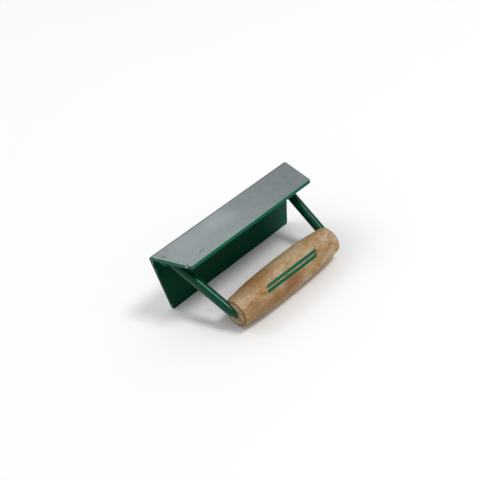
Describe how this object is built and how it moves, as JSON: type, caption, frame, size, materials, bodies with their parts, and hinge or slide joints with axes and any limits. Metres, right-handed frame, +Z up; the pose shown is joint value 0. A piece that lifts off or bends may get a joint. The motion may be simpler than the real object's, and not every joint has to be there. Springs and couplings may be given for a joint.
{
  "type": "concrete edger",
  "caption": "Hand edger for an inside corner in fresh concrete: bent steel angle with bare outer faces, green round-bar bail and turned wooden handle.",
  "frame": {"origin": "the middle of the footprint on the surface that the tool stands on, ridge up, resting on the side plate's free edge and the belly of the handle", "axes": "+X along the ridge, +Y out of the bare side face, away from the handle, +Z up, out of the bare top face"},
  "size_m": [0.15, 0.076, 0.057],
  "materials": {
    "bare_steel": "dull rolled sheet, bare on the outer faces and painted green on the inner faces and edges",
    "green_enamel": "glossy green enamel, a little thin at the edges",
    "handle_wood": "pale turned wood, sanded and thinly sealed"
  },
  "bodies": {
    "root": {"blade": "bare_steel", "bail": "green_enamel", "handle": "handle_wood", "left_weld": "green_enamel", "right_weld": "green_enamel"}
  },
  "joints": []
}
